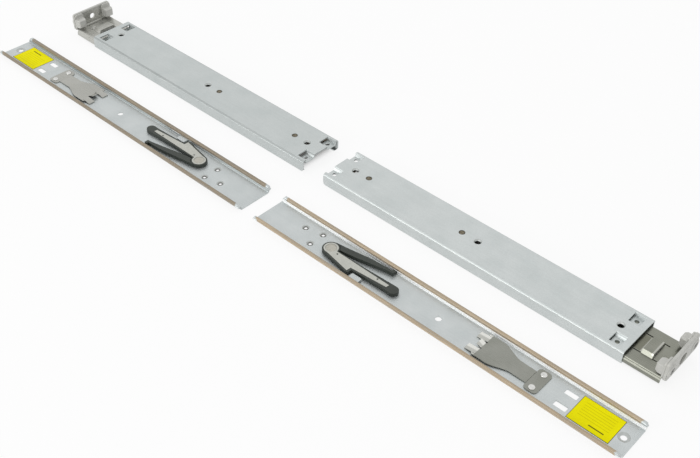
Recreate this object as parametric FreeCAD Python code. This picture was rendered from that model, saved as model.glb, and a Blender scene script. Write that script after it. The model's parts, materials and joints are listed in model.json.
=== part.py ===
# Server rail pair: two outer rails with telescoping rack brackets and two inner rails.
# The four rails lie side by side on the bench, the inner rails drawn out of the outer rails.
# Units are millimetres. X runs along the rails, Z is up, and Z = 0 is the bench.
import FreeCAD, Part
import math
import os

V = FreeCAD.Vector
os.makedirs("parts", exist_ok=True)

# Where the four rails lie
outer_row_y = 35.6
inner_row_y = -39.5
outer_left_gap = 7.0
outer_right_gap = 16.0
inner_gap = 8.0

# Outer channel: zinc plated sheet, web up
channel_length = 280.0
channel_width = 43.0
channel_height = 11.5
channel_sheet = 1.2
channel_bend = 1.2
channel_lip_bend = 0.3
channel_lip_reach = 18.4
channel_corner = 4.0

# Lanced bridges: a strip of the web pressed down to guide the bracket, and its twin at the far end
bridge_inner_top = 7.4
bridge_inner_low = 9.2
bridge_outer_low = 16.9
bridge_outer_top = 18.1
bridge_drop = 2.9
front_bridge_start = 5.0
front_bridge_end = 14.0
rear_bridge_length = 9.4
bridge_hole_across = 13.2
bridge_hole_diameter = 3.6
front_bridge_hole = 9.5
rear_bridge_hole_back = 4.8

# Holes on the centre line of the channel
drawn_hole_first = 15.0
drawn_hole_last_back = 16.0
drawn_hole_count = 3
drawn_hole_diameter = 4.2
drawn_hole_mouth = 6.2
drawn_collar_wall = 0.8
drawn_collar_depth = 1.3
race_rivet_backs = (125.4, 30.6)
race_rivet_shank = 5.2
race_rivet_tail = 0.5

# Ball race member riveted under the web
race_start = 52.0
race_end_back = 12.0
race_sheet = 1.0
race_wall_gap = 0.1
race_bottom = 1.5
race_bend = 1.0
ball_diameter = 2.0
ball_height = 3.0
race_groove_radius = 1.15
ball_fit = 0.03
ball_across = 18.6
race_stop_half = 4.0
race_stop_drop = 3.0
race_relief = 7.6

# Ball cage
cage_start = 82.0
cage_length = 150.0
cage_sheet = 0.4
cage_top = 8.0
cage_bottom = 1.9
cage_half = 18.95
cage_bend = 0.8
cage_window_fit = 0.04
balls_per_side = 5
ball_facets = 8
ball_margin = 9.0
cage_light_half = 11.0
cage_light_length = 34.0
cage_light_corner = 4.0
cage_lights = 3

# Telescoping bracket: stainless sheet
bracket_sheet = 1.2
bracket_side_gap = 0.15
bracket_joggle = 0.75
bracket_joggle_low = 4.5
bracket_joggle_high = 5.5
bracket_guide_gap = 0.1
bracket_bottom = 1.6
bracket_wall_end = 30.0
bracket_tail_end = 35.7
bracket_tab_inner = 10.0
bracket_tab_outer = 16.6
bracket_tab_top = 9.8
bracket_flange_x = -29.5
bracket_flange_sheet = 1.5
bracket_flange_half = 19.0
bracket_flange_top = 20.6
bracket_flange_corner = 3.0
raised_start = -15.5
raised_end = -7.0
raised_half_top = 7.5
raised_half_base = 9.3
raised_clearance = 0.1
slit_width = 1.0
slit_outer_start = -19.2
slit_inner_end = -0.6
base_slot_start = -27.6
base_slot_end = -26.2
base_slot_half = 9.4
flange_eye_height = 14.2
flange_eye_diameter = 5.4
flange_small_across = 8.4
flange_small_height = 13.3
flange_small_diameter = 3.0

# End cap and rack pegs: light grey castings either side of the flange
peg_pitch = 31.75
peg_height = 14.0
cap_half = 20.9
cap_bottom = 6.2
cap_top = 22.4
cap_corner = 2.2
cap_face = 1.5
cap_edge = 0.8
cap_fit = 0.15
cap_boss_diameter = 10.0
cap_boss_rise = 0.7
cap_eye_height = 13.4
cap_eye_diameter = 9.6
peg_block_inner = 10.8
peg_block_thickness = 1.5
peg_base = 8.8
peg_tip = 6.9
peg_length = 6.9
peg_taper_start = 3.2
peg_corner = 0.08
peg_block_lift = 1.0
peg_screw_diameter = 3.0
peg_screw_head = 5.6
peg_screw_head_depth = 1.5
peg_screw_reach = 5.0
peg_screw_fit = 0.1

# Inner rail: zinc plated sheet, web down, edges hemmed to a round bead with a ball track outside
inner_length = 330.0
inner_sheet = 1.2
inner_wall = 15.2
inner_web_bend = 0.6
inner_bead_radius = 1.6
inner_bead_across = 16.85
inner_bead_height = 4.0
inner_end_round = 3.3
end_hole_place = 7.4
end_hole_diameter = 4.6
end_hole_dish = 8.4
end_hole_dish_depth = 0.5
label_start = 12.1
label_end = 44.0
label_half = 11.9
label_thickness = 0.12
slot_place = 51.0
slot_across = 6.7
slot_length = 9.8
slot_width = 4.8
slot_corner = 0.6
round_hole_place = 158.2
round_hole_diameter = 5.0
chassis_holes = ((278.8, 6.2), (278.4, -7.9), (294.0, -4.7))
chassis_hole_diameter = 3.3
chassis_hole_mouth = 6.0
chassis_hole_mouth_depth = 0.7

# Windows and the stop tab beside the release lever
window_start = 208.6
window_end = 220.0
window_low = 1.7
window_high = 3.0
window_reach = 16.3
tab_start = 222.8
tab_end = 232.0
tab_reach = 9.6
tab_height = 2.2
tab_sheet = 1.0
spring_window_start = 205.0
spring_window_end = 213.5

# Spring latch leaf
leaf_sheet = 0.8
leaf_base_start = 68.3
leaf_hinge = 78.9
leaf_base_half = 11.2
leaf_base_corner = 3.0
leaf_neck_half = 6.7
leaf_neck_end = 91.0
leaf_wide_start = 110.0
leaf_half = 12.0
leaf_wide_end = 121.5
leaf_end_round = 1.4
leaf_rise = 1.4
leaf_gap = 0.1
finger_inner = 4.3
finger_outer = 10.2
finger_root = 118.2
finger_length = 8.5
finger_rise = -7.6
finger_bend = 3.0
tongue_half = 3.0
tongue_length = 4.2
tongue_rise = 24.0
tongue_bend = 1.0
leaf_rivet_place = 73.5
leaf_rivet_across = 7.3
leaf_rivet_shank = 3.0
leaf_rivet_head = 5.2
leaf_rivet_crown = 3.4
leaf_rivet_rise = 1.1

# Release lever
pivot_x = 261.5
pivot_y = 1.3
lever_bottom = 1.35
lever_top = 4.3
lever_boss_radius = 7.0
lever_edge = ((236.6, 13.0), (234.3, 12.4), (234.3, 8.5), (204.0, 7.0))
lever_tip = (198.2, 3.0)
lever_tip_radius = 4.2
lever_inner_edge = ((204.0, -1.0), (231.0, 0.1), (250.5, 0.2))
plate_round_radius = 5.8
plate_outline = ((260.4, 7.0), (236.4, 11.5), (236.1, 7.4), (203.8, 4.6), (203.4, 1.7), (257.5, 1.2))
plate_recess = 0.8
plate_proud = 0.1
plate_fit = 0.05
pivot_shank = 5.0
pivot_fit = 0.05
pivot_head = 8.6
pivot_head_fit = 0.08
pivot_head_sink = 0.15
spring_leg_fit = 0.15
spring_leg_outer = ((254.0, -6.9), (233.0, -10.5), (221.0, -11.7), (213.8, -11.9))
spring_leg_inner = ((213.8, -9.6), (221.0, -8.0), (234.0, -5.2), (242.0, -3.4), (250.0, -2.0), (254.4, -1.4))
spring_foot_start = 209.4
spring_foot_end = 212.2
spring_foot_reach = -13.8
spring_foot_inner = -10.0
spring_toe_reach = -14.9
spring_toe_fit = 0.15

# Sizes that follow from the ones above
outer_left_x = -channel_length - outer_left_gap
outer_right_x = channel_length + outer_right_gap
inner_end_x = inner_length + inner_gap
inner_half = inner_bead_across + inner_bead_radius
inner_top = inner_bead_height + inner_bead_radius
rear_bridge_start = channel_length - rear_bridge_length
rear_bridge_hole = channel_length - rear_bridge_hole_back
race_end = channel_length - race_end_back
race_rivet_places = [channel_length - back for back in race_rivet_backs]
drawn_hole_pitch = (channel_length - drawn_hole_last_back - drawn_hole_first) / (drawn_hole_count - 1)
drawn_holes = [drawn_hole_first + drawn_hole_pitch * index for index in range(drawn_hole_count)]
channel_half = channel_width / 2
channel_inside = channel_half - channel_sheet
web_under = channel_height - channel_sheet
bridge_under = web_under - bridge_drop
bracket_web_top = bridge_under - bracket_guide_gap
bracket_web_bottom = bracket_web_top - bracket_sheet
bracket_side = channel_inside - bracket_side_gap
raised_top = web_under - raised_clearance
flange_outer_x = bracket_flange_x - bracket_flange_sheet
cap_outer_x = flange_outer_x - cap_face
race_outer = channel_inside - race_wall_gap
race_inner = race_outer - race_sheet
race_groove_depth = ball_across + ball_diameter / 2 + ball_fit - race_inner


def unit(x, y):
    length = math.hypot(x, y)
    return x / length, y / length


def rounded_wire(points, radii, closed):
    """A flat outline of straight runs joined by arcs; each point is (x, y)."""
    count = len(points)
    runs = []
    for index in range(count):
        here = points[index]
        radius = radii[index]
        first = not closed and index == 0
        last = not closed and index == count - 1
        if radius <= 0 or first or last:
            runs.append((here, None, here))
            continue
        before = points[index - 1]
        after = points[(index + 1) % count]
        ax, ay = unit(before[0] - here[0], before[1] - here[1])
        bx, by = unit(after[0] - here[0], after[1] - here[1])
        half = math.acos(max(-1.0, min(1.0, ax * bx + ay * by))) / 2
        setback = radius / math.tan(half)
        start = (here[0] + ax * setback, here[1] + ay * setback)
        end = (here[0] + bx * setback, here[1] + by * setback)
        mx, my = unit(ax + bx, ay + by)
        centre_away = radius / math.sin(half)
        middle = (here[0] + mx * (centre_away - radius), here[1] + my * (centre_away - radius))
        runs.append((start, middle, end))
    edges = []
    for index in range(count):
        start, middle, end = runs[index]
        if middle is not None:
            edges.append(Part.Arc(V(start[0], start[1], 0), V(middle[0], middle[1], 0),
                                  V(end[0], end[1], 0)).toShape())
        if index == count - 1 and not closed:
            break
        following = runs[(index + 1) % count][0]
        if math.hypot(following[0] - end[0], following[1] - end[1]) > 1e-6:
            edges.append(Part.LineSegment(V(end[0], end[1], 0), V(following[0], following[1], 0)).toShape())
    return edges


def offset_points(points, sheet):
    """The other face of a folded sheet: every run moved to its left by the sheet thickness."""
    lines = []
    for index in range(len(points) - 1):
        dx, dy = unit(points[index + 1][0] - points[index][0], points[index + 1][1] - points[index][1])
        lines.append((points[index][0] - dy * sheet, points[index][1] + dx * sheet, dx, dy))
    moved = [(lines[0][0], lines[0][1])]
    for index in range(1, len(lines)):
        x1, y1, dx1, dy1 = lines[index - 1]
        x2, y2, dx2, dy2 = lines[index]
        cross = dx1 * dy2 - dy1 * dx2
        along = ((x2 - x1) * dy2 - (y2 - y1) * dx2) / cross
        moved.append((x1 + dx1 * along, y1 + dy1 * along))
    dx, dy = lines[-1][2], lines[-1][3]
    moved.append((points[-1][0] - dy * sheet, points[-1][1] + dx * sheet))
    return moved


def grown(points, margin):
    """A closed outline moved outwards; its points run counterclockwise."""
    ring = [points[-1]] + list(points) + [points[0]]
    return offset_points(ring, -margin)[1:-1]


def folded_sheet(points, bends, sheet):
    """A face for a sheet folded along the points; bends are the inside radii, None where it is sharp."""
    near = []
    far = []
    for index in range(len(points)):
        if bends[index] is None:
            near.append(0.0)
            far.append(0.0)
            continue
        ax = points[index][0] - points[index - 1][0]
        ay = points[index][1] - points[index - 1][1]
        bx = points[index + 1][0] - points[index][0]
        by = points[index + 1][1] - points[index][1]
        turns_left = ax * by - ay * bx > 0
        near.append(bends[index] + sheet if turns_left else bends[index])
        far.append(bends[index] if turns_left else bends[index] + sheet)
    other = offset_points(points, sheet)
    outline = list(points) + list(reversed(other))
    radii = near + list(reversed(far))
    return Part.Face(Part.Wire(rounded_wire(outline, radii, True)))


def flat_face(points, radii):
    return Part.Face(Part.Wire(rounded_wire(points, radii, True)))


def along_x(face, start, end):
    """Turn a face drawn as (y, z) to stand across X and draw it out from start to end."""
    turned = face.copy()
    turned.transformShape(FreeCAD.Matrix(0, 0, 1, start, 1, 0, 0, 0, 0, 1, 0, 0, 0, 0, 0, 1))
    return turned.extrude(V(end - start, 0, 0))


def along_y(face, start, end):
    """Turn a face drawn as (x, z) to stand across Y and draw it out from start to end."""
    turned = face.copy()
    turned.transformShape(FreeCAD.Matrix(1, 0, 0, 0, 0, 0, 1, start, 0, 1, 0, 0, 0, 0, 0, 1))
    return turned.extrude(V(0, end - start, 0))


def along_z(face, bottom, top):
    raised = face.copy()
    raised.translate(V(0, 0, bottom))
    return raised.extrude(V(0, 0, top - bottom))


def block(x1, x2, y1, y2, z1, z2):
    return Part.makeBox(x2 - x1, y2 - y1, z2 - z1, V(x1, y1, z1))


def upright(x, y, bottom, top, diameter):
    return Part.makeCylinder(diameter / 2, top - bottom, V(x, y, bottom), V(0, 0, 1))


def level(x1, x2, y, z, diameter):
    return Part.makeCylinder(diameter / 2, x2 - x1, V(x1, y, z), V(1, 0, 0))


def six_sided(x, y, bottom, top, diameter):
    """A hidden shank or the hole for it, drawn with six flats that lie on the diameter."""
    corner = diameter / 2 / math.cos(math.pi / 6)
    points = []
    for index in range(6):
        angle = math.pi * index / 3
        points.append((x + corner * math.cos(angle), y + corner * math.sin(angle)))
    return along_z(flat_face(points, [0] * 6), bottom, top)


def level_six_sided(x1, x2, y, z, diameter):
    upright_one = six_sided(0, 0, 0, x2 - x1, diameter)
    upright_one.rotate(V(0, 0, 0), V(0, 1, 0), 90)
    upright_one.translate(V(x1, y, z))
    return upright_one


def cone(x, y, bottom, top, low_diameter, high_diameter):
    return Part.makeCone(low_diameter / 2, high_diameter / 2, top - bottom, V(x, y, bottom), V(0, 0, 1))


def rounded_box(x1, x2, y1, y2, bottom, top, corner):
    points = [(x1, y1), (x2, y1), (x2, y2), (x1, y2)]
    return along_z(flat_face(points, [corner] * 4), bottom, top)


def cornered_box(x1, x2, y1, y2, bottom, top, cut):
    """A box whose upright corners are cut off at 45 degrees."""
    points = [(x1 + cut, y1), (x2 - cut, y1), (x2, y1 + cut), (x2, y2 - cut),
              (x2 - cut, y2), (x1 + cut, y2), (x1, y2 - cut), (x1, y1 + cut)]
    return along_z(flat_face(points, [0] * 8), bottom, top)


def joined(shapes):
    body = shapes[0].multiFuse(shapes[1:]) if len(shapes) > 1 else shapes[0]
    return body.removeSplitter()


# Outer rail pieces, drawn with the bracket end at X = 0 and the far end at +X

def channel_section(with_bridges):
    """The C section of the outer rail, seen along X; bridges are pressed down out of the web."""
    half = channel_half
    top = channel_height
    points = [(channel_lip_reach, 0.0), (half, 0.0), (half, top)]
    bends = [None, channel_lip_bend, channel_bend]
    if with_bridges:
        low = top - bridge_drop
        points += [(bridge_outer_top, top), (bridge_outer_low, low),
                   (bridge_inner_low, low), (bridge_inner_top, top)]
        bends += [None] * 4
        points += [(-y, z) for y, z in reversed(points[3:])]
        bends += list(reversed(bends[3:]))
    points += [(-half, top), (-half, 0.0), (-channel_lip_reach, 0.0)]
    bends += [channel_bend, channel_lip_bend, None]
    return folded_sheet(points, bends, channel_sheet)


def outer_channel():
    plain = channel_section(False)
    bridged = channel_section(True)
    body = joined([
        along_x(plain, 0.0, front_bridge_start),
        along_x(bridged, front_bridge_start, front_bridge_end),
        along_x(plain, front_bridge_end, rear_bridge_start),
        along_x(bridged, rear_bridge_start, channel_length),
    ])
    for place in drawn_holes:
        collar = upright(place, 0, web_under - drawn_collar_depth, web_under + 0.2,
                         drawn_hole_diameter + 2 * drawn_collar_wall)
        body = body.fuse(collar)
        body = body.cut(cone(place, 0, web_under, channel_height, drawn_hole_diameter, drawn_hole_mouth))
        body = body.cut(upright(place, 0, web_under - 3, channel_height + 1, drawn_hole_diameter))
    for place in race_rivet_places:
        body = body.cut(upright(place, 0, web_under - 1, channel_height + 1, race_rivet_shank))
    for side in (-1, 1):
        for place in (front_bridge_hole, rear_bridge_hole):
            body = body.cut(upright(place, side * bridge_hole_across, bridge_under - 1, channel_height,
                                    bridge_hole_diameter))
    # The lower corners of both side walls are rounded at the far end
    blank = block(channel_length - channel_corner, channel_length + 1, -channel_half - 1, channel_half + 1,
                  -1, channel_corner)
    keep = Part.makeCylinder(channel_corner, channel_width + 2,
                             V(channel_length - channel_corner, -channel_half - 1, channel_corner), V(0, 1, 0))
    return body.cut(blank.cut(keep)).removeSplitter()


def race_section():
    """The C section of the ball race member with a round groove inside each wall."""
    outer = race_outer
    inner = race_inner
    top = web_under
    under = top - race_sheet
    outline = [(-outer, race_bottom), (-inner, race_bottom), (-inner, under), (inner, under),
               (inner, race_bottom), (outer, race_bottom), (outer, top), (-outer, top)]
    radii = [0, 0, race_bend, race_bend, 0, 0, race_bend + race_sheet, race_bend + race_sheet]
    face = flat_face(outline, radii)
    centre = inner + race_groove_depth - race_groove_radius
    for side in (-1, 1):
        circle = Part.makeCircle(race_groove_radius, V(side * centre, ball_height, 0))
        face = face.cut(Part.Face(Part.Wire([circle])))
    return face


def race_member():
    section = race_section().Faces[0]
    body = along_x(section, race_start, race_end)
    under = web_under - race_sheet
    for place in (race_start, race_end - race_sheet):
        body = body.fuse(block(place, place + race_sheet, -race_stop_half, race_stop_half,
                               under - race_stop_drop, under + 0.2))
    for place in drawn_holes[1:]:
        body = body.cut(upright(place, 0, under - 0.5, web_under + 0.5, race_relief))
    for place in race_rivet_places:
        body = body.cut(upright(place, 0, under - 0.5, web_under + 0.5, race_rivet_shank))
    return body.removeSplitter()


def race_rivets():
    """Rivets ground flush with the web that hold the race member under it."""
    tail = web_under - race_sheet - race_rivet_tail
    return Part.makeCompound([upright(place, 0, tail, channel_height, race_rivet_shank)
                              for place in race_rivet_places])


def ball_places():
    span = cage_length - 2 * ball_margin
    step = span / (balls_per_side - 1)
    return [cage_start + ball_margin + step * index for index in range(balls_per_side)]


def ball_cage():
    """A thin saddle with a row of windows down each side for the balls."""
    points = [(cage_half, cage_bottom), (cage_half, cage_top),
              (-cage_half, cage_top), (-cage_half, cage_bottom)]
    section = folded_sheet(points, [None, cage_bend, cage_bend, None], cage_sheet)
    body = along_x(section, cage_start, cage_start + cage_length)
    pitch = cage_length / cage_lights
    for index in range(cage_lights):
        middle = cage_start + pitch * (index + 0.5)
        light_start = middle - cage_light_length / 2
        body = body.cut(cornered_box(light_start, light_start + cage_light_length, -cage_light_half,
                                     cage_light_half, cage_top - 2, cage_top + 1, cage_light_corner))
    reach = ball_diameter / 2 + cage_window_fit
    for place in ball_places():
        body = body.cut(block(place - reach, place + reach, -cage_half - 2, cage_half + 2,
                              ball_height - reach, ball_height + reach))
    return body


def ball(x, y, z):
    """A ball with few facets: two rings of corners each side of its equator."""
    rings = []
    for latitude in (-67.5, -22.5, 22.5, 67.5):
        reach = ball_diameter / 2 * math.cos(math.radians(latitude))
        height = z + ball_diameter / 2 * math.sin(math.radians(latitude))
        corners = []
        for index in range(ball_facets):
            angle = 2 * math.pi * index / ball_facets
            corners.append(V(x + reach * math.cos(angle), y + reach * math.sin(angle), height))
        rings.append(Part.makePolygon(corners + [corners[0]]))
    return Part.makeLoft(rings, True, True)


def cage_balls():
    balls = []
    for place in ball_places():
        for side in (-1, 1):
            balls.append(ball(place, side * ball_across, ball_height))
    return Part.makeCompound(balls)


def bracket_section(raised):
    """The bracket folded to a shallow channel, its side walls stepped outwards near the bottom."""
    top = bracket_web_top
    low = bracket_side
    high = bracket_side - bracket_joggle
    points = [(low, bracket_bottom), (low, bracket_joggle_low), (high, bracket_joggle_high), (high, top)]
    bends = [None, None, None, 0.8]
    if raised:
        points += [(raised_half_base, top), (raised_half_top, raised_top)]
        bends += [None, None]
        points += [(-raised_half_top, raised_top), (-raised_half_base, top)]
        bends += [None, None]
    points += [(-high, top), (-high, bracket_joggle_high), (-low, bracket_joggle_low), (-low, bracket_bottom)]
    bends += [0.8, None, None, None]
    return folded_sheet(points, bends, bracket_sheet)


def bracket():
    plain = bracket_section(False)
    wall_start = bracket_flange_x + 1.2
    body = joined([
        along_x(plain, wall_start, raised_start),
        along_x(bracket_section(True), raised_start, raised_end),
        along_x(plain, raised_end, bracket_wall_end),
    ])
    # End flange turned up from the web
    x = bracket_flange_x
    profile = [(x + 8, bracket_web_bottom), (flange_outer_x, bracket_web_bottom),
               (flange_outer_x, bracket_flange_top), (x, bracket_flange_top),
               (x, bracket_web_top), (x + 8, bracket_web_top)]
    flange = along_y(flat_face(profile, [0, 2.0, 0, 0, 0.8, 0]), -bracket_flange_half, bracket_flange_half)
    window = [(-bracket_flange_half, bracket_web_bottom), (bracket_flange_half, bracket_web_bottom),
              (bracket_flange_half, bracket_flange_top), (-bracket_flange_half, bracket_flange_top)]
    outline = along_x(flat_face(window, [0, 0, bracket_flange_corner, bracket_flange_corner]),
                      flange_outer_x - 1, x + 9)
    flange = flange.common(outline)
    trim = bracket_flange_half - (bracket_side - bracket_joggle - bracket_sheet)
    for side in (-1, 1):
        edge = bracket_flange_half - trim
        y1, y2 = sorted((side * edge, side * (bracket_flange_half + 1)))
        flange = flange.cut(block(wall_start, x + 9, y1, y2, bracket_web_bottom - 1, bracket_web_top + 0.5))
    # Tail tabs turned up behind the guide bridges keep the bracket from pulling out
    tail = block(bracket_wall_end - 1, bracket_tail_end, -bracket_tab_outer, bracket_tab_outer,
                 bracket_web_bottom, bracket_web_top)
    pieces = [body, flange, tail]
    for side in (-1, 1):
        y1, y2 = sorted((side * bracket_tab_inner, side * bracket_tab_outer))
        pieces.append(block(bracket_tail_end - bracket_sheet, bracket_tail_end, y1, y2,
                            bracket_web_bottom, bracket_tab_top))
    body = joined(pieces)
    # Relief slits at the corners of the raised bridge and the slot at the root of the flange
    for side in (-1, 1):
        y1, y2 = sorted((side * (raised_half_base - 0.5), side * (raised_half_base - 0.5 + slit_width)))
        for slit_start, slit_end in ((slit_outer_start, raised_start), (raised_end, slit_inner_end)):
            body = body.cut(block(slit_start, slit_end, y1, y2, bracket_web_bottom - 1, bracket_web_top + 1))
    body = body.cut(rounded_box(base_slot_start, base_slot_end, -base_slot_half, base_slot_half,
                                bracket_web_bottom - 1, bracket_web_top + 1, 0.5))
    body = body.cut(level(flange_outer_x - 1, x + 1, 0, flange_eye_height, flange_eye_diameter))
    body = body.cut(level(flange_outer_x - 1, x + 1, flange_small_across, flange_small_height,
                          flange_small_diameter))
    for side in (-1, 1):
        body = body.cut(level_six_sided(flange_outer_x - 1, x + 1, side * peg_pitch / 2, peg_height,
                                        peg_screw_diameter + 2 * peg_screw_fit))
    return body.removeSplitter()


def cap_outline(grow):
    points = [(-cap_half + grow, cap_bottom + grow), (cap_half - grow, cap_bottom + grow),
              (cap_half - grow, cap_top - grow), (-cap_half + grow, cap_top - grow)]
    return flat_face(points, [cap_corner - grow] * 4)


def end_cap():
    """The cap closes over the outside of the flange and round its edges."""
    body = along_x(cap_outline(0.0), cap_outer_x, bracket_flange_x - cap_fit)
    pocket_half = bracket_flange_half + cap_fit
    pocket_top = bracket_flange_top + cap_fit
    pocket_points = [(-pocket_half, cap_bottom - 1), (pocket_half, cap_bottom - 1),
                     (pocket_half, pocket_top), (-pocket_half, pocket_top)]
    pocket = along_x(flat_face(pocket_points, [0, 0, bracket_flange_corner, bracket_flange_corner]),
                     flange_outer_x, bracket_flange_x + 1)
    body = body.cut(pocket)
    # The outer face is eased all round
    rim = [edge for edge in body.Edges
           if abs(edge.BoundBox.XMin - cap_outer_x) < 1e-4 and abs(edge.BoundBox.XMax - cap_outer_x) < 1e-4]
    body = body.makeChamfer(cap_edge, rim)
    for side in (-1, 1):
        boss = level(cap_outer_x - cap_boss_rise, cap_outer_x + 1, side * peg_pitch / 2, peg_height,
                     cap_boss_diameter)
        ring = [edge for edge in boss.Edges
                if abs(edge.BoundBox.XMax - (cap_outer_x - cap_boss_rise)) < 1e-4]
        body = body.fuse(boss.makeChamfer(0.4, ring))
        body = body.cut(level(cap_outer_x - 2, cap_outer_x - cap_boss_rise + peg_screw_head_depth,
                              side * peg_pitch / 2, peg_height, peg_screw_head + 2 * peg_screw_fit))
        body = body.cut(level_six_sided(cap_outer_x - 2, flange_outer_x + 1, side * peg_pitch / 2, peg_height,
                                        peg_screw_diameter + 2 * peg_screw_fit))
    # A round opening in the middle of the face gives a screw access to the eye of the flange
    body = body.cut(level(cap_outer_x - 1, flange_outer_x + 0.5, 0, cap_eye_height, cap_eye_diameter))
    return body.removeSplitter()


def square_ring(x, y, z, half, cut):
    """A square across X with its corners cut off."""
    corners = [(half - cut, -half), (half, -half + cut), (half, half - cut), (half - cut, half),
               (-half + cut, half), (-half, half - cut), (-half, -half + cut), (-half + cut, -half)]
    points = [V(x, y + across, z + up) for across, up in corners]
    return Part.makePolygon(points + [points[0]])


def peg_block(side):
    """A pad on the inner face of the flange with a square peg that enters the rack post."""
    x = bracket_flange_x
    y1, y2 = sorted((side * peg_block_inner, side * (cap_half - 0.3)))
    pad_low = bracket_web_top + peg_block_lift
    pad = along_x(flat_face([(y1, pad_low), (y2, pad_low), (y2, cap_top - 0.3), (y1, cap_top - 0.3)],
                            [0.6, 0.6, 2.6, 2.6]), x, x + peg_block_thickness)
    centre = side * peg_pitch / 2
    root = x + peg_block_thickness
    rings = []
    for place, size in ((root - 0.5, peg_base), (root + peg_taper_start, peg_base), (x + peg_length, peg_tip)):
        rings.append(square_ring(place, centre, peg_height, size / 2, size * peg_corner))
    body = joined([pad, Part.makeLoft(rings, True, True)])
    return body.cut(level_six_sided(x - 1, x + peg_screw_reach - bracket_flange_sheet + 0.2, centre, peg_height,
                                    peg_screw_diameter))


def peg_screws():
    """Screws from the outside through cap and flange into the pegs, one for each peg."""
    screws = []
    head_x = cap_outer_x - cap_boss_rise + 0.1
    head_end = cap_outer_x - cap_boss_rise + peg_screw_head_depth
    for side in (-1, 1):
        y = side * peg_pitch / 2
        head = level(head_x, head_end, y, peg_height, peg_screw_head)
        shank = level_six_sided(head_end - 0.1, bracket_flange_x + peg_screw_reach - bracket_flange_sheet, y,
                                peg_height, peg_screw_diameter)
        screws.append(joined([head, shank]))
    return Part.makeCompound(screws)


# Inner rail pieces, drawn with the label end at X = 0

def inner_profile():
    """The rail before it is pierced: slanted walls end in hemmed beads, a ball track in each bead."""
    points = [(-inner_bead_across, inner_bead_height), (-inner_wall, 0.0), (inner_wall, 0.0),
              (inner_bead_across, inner_bead_height)]
    section = folded_sheet(points, [None, inner_web_bend, inner_web_bend, None], inner_sheet)
    body = along_x(section, 0.0, inner_length)
    track_centre = ball_across - ball_diameter / 2 - ball_fit + race_groove_radius
    for side in (-1, 1):
        body = body.fuse(level(0.0, inner_length, side * inner_bead_across, inner_bead_height,
                               2 * inner_bead_radius))
    for side in (-1, 1):
        body = body.cut(level(-1.0, inner_length + 1, side * track_centre, inner_bead_height,
                              2 * race_groove_radius))
    return body.removeSplitter()


def inner_rail():
    body = inner_profile()
    top = inner_top
    for x_edge, inward in ((0.0, 1), (inner_length, -1)):
        x_near = x_edge + inward * inner_end_round
        x1, x2 = sorted((x_edge - inward, x_near))
        blank = block(x1, x2, -inner_half - 1, inner_half + 1, top - inner_end_round, top + 1)
        keep = Part.makeCylinder(inner_end_round, 2 * inner_half + 2,
                                 V(x_near, -inner_half - 1, top - inner_end_round), V(0, 1, 0))
        body = body.cut(blank.cut(keep))
    thickness = inner_sheet
    body = body.cut(upright(end_hole_place, 0, -1, 3, end_hole_diameter))
    body = body.cut(cone(end_hole_place, 0, thickness - end_hole_dish_depth, thickness, end_hole_diameter + 1.6,
                         end_hole_dish))
    for side in (-1, 1):
        body = body.cut(cornered_box(slot_place - slot_length / 2, slot_place + slot_length / 2,
                                     side * slot_across - slot_width / 2, side * slot_across + slot_width / 2,
                                     -1, 3, slot_corner))
        body = body.cut(six_sided(leaf_rivet_place, side * leaf_rivet_across, -1, 3, leaf_rivet_shank))
    body = body.cut(upright(round_hole_place, 0.4, -1, 3, round_hole_diameter))
    body = body.cut(upright(pivot_x, pivot_y, -1, 3, pivot_shank))
    for x, y in chassis_holes:
        body = body.cut(upright(x, y, -1, 3, chassis_hole_diameter))
        body = body.cut(cone(x, y, thickness - chassis_hole_mouth_depth, thickness, chassis_hole_diameter,
                             chassis_hole_mouth))
    # A window in one side wall beside the lever, and one for the foot of its spring leg in the other
    wall_face = inner_wall - inner_sheet
    body = body.cut(block(window_start, window_end, wall_face - 1, window_reach, window_low, window_high))
    body = body.cut(block(spring_window_start, spring_window_end, -window_reach, -wall_face + 1,
                          window_low, window_high))
    # Stop tab folded in from the same edge
    tab = rounded_box(tab_start, tab_end, tab_reach, inner_wall - 0.3, tab_height, tab_height + tab_sheet, 0.8)
    tab_root = block(tab_start, tab_end, wall_face, inner_wall - 0.3, tab_height, tab_height + tab_sheet)
    return joined([body, tab, tab_root])


def label():
    return block(label_start, label_end, -label_half, label_half, inner_sheet, inner_sheet + label_thickness)


def leaf_base():
    """The riveted foot of the spring leaf."""
    points = [(leaf_base_start, -leaf_base_half), (leaf_hinge - leaf_gap / 2, -leaf_base_half),
              (leaf_hinge - leaf_gap / 2, leaf_base_half), (leaf_base_start, leaf_base_half)]
    body = along_z(flat_face(points, [leaf_base_corner] * 4), inner_sheet, inner_sheet + leaf_sheet)
    for side in (-1, 1):
        body = body.cut(six_sided(leaf_rivet_place, side * leaf_rivet_across, 0, 4, leaf_rivet_shank))
    return body


def leaf_rivets():
    rivets = []
    seat = inner_sheet + leaf_sheet
    for side in (-1, 1):
        y = side * leaf_rivet_across
        head = cone(leaf_rivet_place, y, seat, seat + leaf_rivet_rise, leaf_rivet_head, leaf_rivet_crown)
        shank = six_sided(leaf_rivet_place, y, 0.1, seat + 0.3, leaf_rivet_shank)
        rivets.append(joined([head, shank]))
    return Part.makeCompound(rivets)


def leaf_outline():
    """Half of the leaf edge: the narrow neck flares in a double curve to nearly the full trough."""
    start = leaf_hinge + leaf_gap / 2
    flare = []
    steps = 8
    for index in range(steps + 1):
        share = index / steps
        ease = share * share * (3 - 2 * share)
        flare.append((leaf_neck_end + (leaf_wide_start - leaf_neck_end) * share,
                      leaf_neck_half + (leaf_half - leaf_neck_half) * ease))
    return start, flare


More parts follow.
